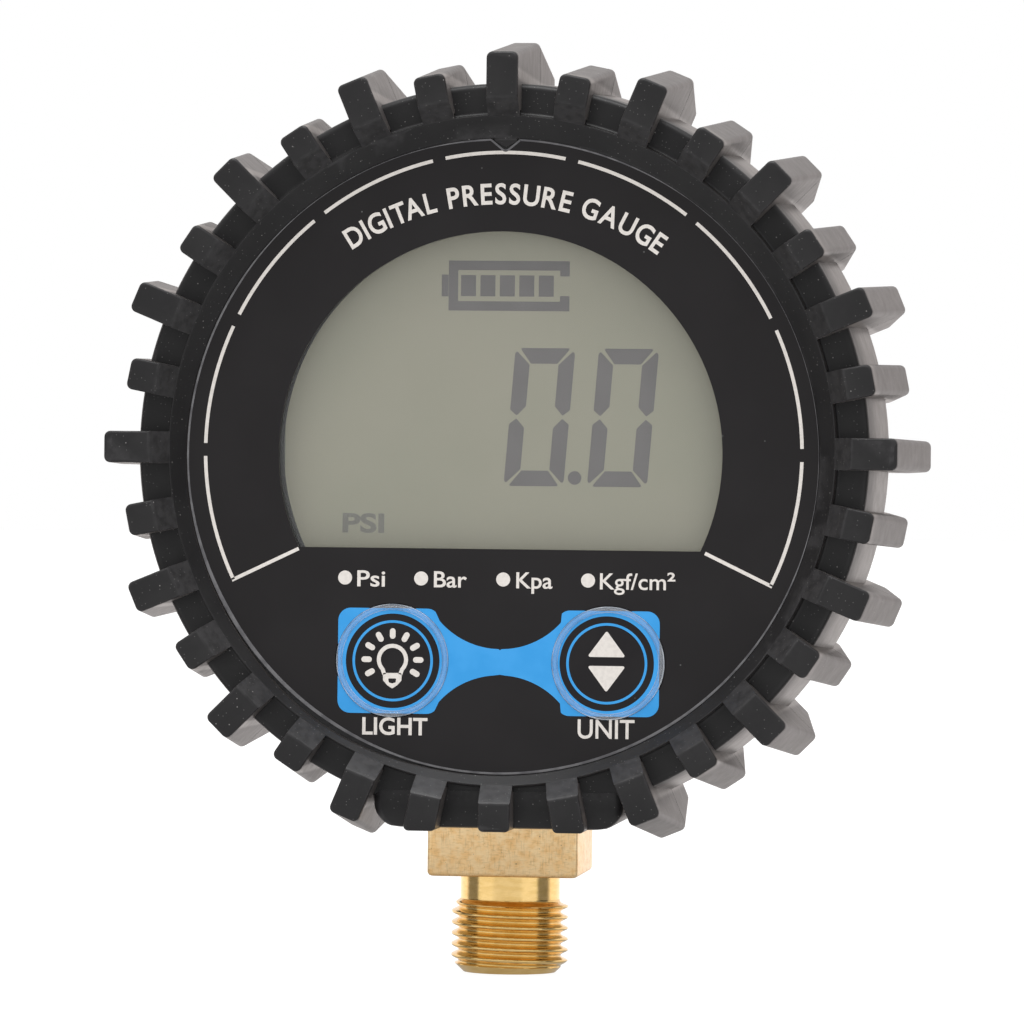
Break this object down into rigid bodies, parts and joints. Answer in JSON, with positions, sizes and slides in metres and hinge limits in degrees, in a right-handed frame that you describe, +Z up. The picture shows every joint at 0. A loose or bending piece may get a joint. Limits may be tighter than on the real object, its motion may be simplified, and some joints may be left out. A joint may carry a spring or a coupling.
{
  "type": "tire pressure gauge",
  "caption": "Round digital tyre pressure gauge in a tread-pattern rubber boot, with a display, push buttons, a battery bay and a threaded brass fitting.",
  "frame": {"origin": "on the pipe thread's axis, at the thread's inner end, where the plain neck starts", "axes": "+Z up from the thread to the dial, -Y the way the dial faces, +X to the right of someone who reads the dial"},
  "size_m": [0.069, 0.0289, 0.0779],
  "materials": {
    "boot_rubber": "matte moulded rubber with light dust",
    "case_plastic": "fine moulded texture",
    "printed_film": "satin printed polycarbonate film",
    "clear_window": "clear satin plastic",
    "button_film": "printed film with a raised clear ring",
    "switch_plastic": "moulded",
    "foam": "closed-cell foam",
    "polarizer_film": "film",
    "display_glass": "polished",
    "reflector_film": "satin",
    "light_guide": "milky",
    "led_resin": "clear yellow resin",
    "frame_plastic": "moulded",
    "zebra_rubber": "layered silicone",
    "board_laminate": "solder mask",
    "chip_resin": "moulded resin",
    "component_ceramic": "sintered",
    "steel": "zinc plated",
    "tinned_copper": "tinned",
    "seal_rubber": "moulded",
    "brass": "turned and milled",
    "gasket_rubber": "silicone",
    "battery_jacket": "printed sleeve",
    "contact_steel": "nickel plated"
  },
  "bodies": {
    "gauge": {"rubber_boot": "boot_rubber", "front_housing": "case_plastic", "rear_housing": "case_plastic", "face_overlay": "printed_film", "display_window": "clear_window", "light_switch": "switch_plastic", "unit_switch": "switch_plastic", "window_gasket": "foam", "front_polarizer": "polarizer_film", "lcd_front_glass": "display_glass", "lcd_rear_glass": "display_glass", "lcd_reflector": "reflector_film", "backlight_panel": "light_guide", "backlight_leds": "led_resin", "lcd_frame": "frame_plastic", "zebra_strip": "zebra_rubber", "circuit_board": "board_laminate", "processor_chip": "chip_resin", "crystal_can": "steel", "board_components": "component_ceramic", "board_screws": "steel", "pressure_sensor": "steel", "sensor_leads": "tinned_copper", "sensor_seal": "seal_rubber", "sensor_nut": "brass", "brass_fitting": "brass", "fitting_strap": "steel", "strap_screws": "steel", "case_gasket": "gasket_rubber", "case_screws": "steel", "battery_upper": "battery_jacket", "battery_lower": "battery_jacket", "battery_springs": "contact_steel", "battery_bridge": "contact_steel", "positive_contact": "contact_steel", "negative_contact": "contact_steel"},
    "light_key": {"light_button": "button_film", "light_plunger": "switch_plastic"},
    "unit_key": {"unit_button": "button_film", "unit_plunger": "switch_plastic"},
    "door": {"battery_door": "case_plastic"}
  },
  "joints": [
    {"name": "light_press", "type": "slide", "parent": "gauge", "child": "light_key", "axis": [0, 1, 0], "range_m": [0, 0.0003], "stiffness_N_per_m": 1500},
    {"name": "unit_press", "type": "slide", "parent": "gauge", "child": "unit_key", "axis": [0, 1, 0], "range_m": [0, 0.0003], "stiffness_N_per_m": 1500},
    {"name": "door_hinge", "type": "hinge", "parent": "gauge", "child": "door", "pos_m": [0, 0.01515, 0.02575], "axis": [-1, 0, 0], "range_deg": [0, 60]}
  ]
}
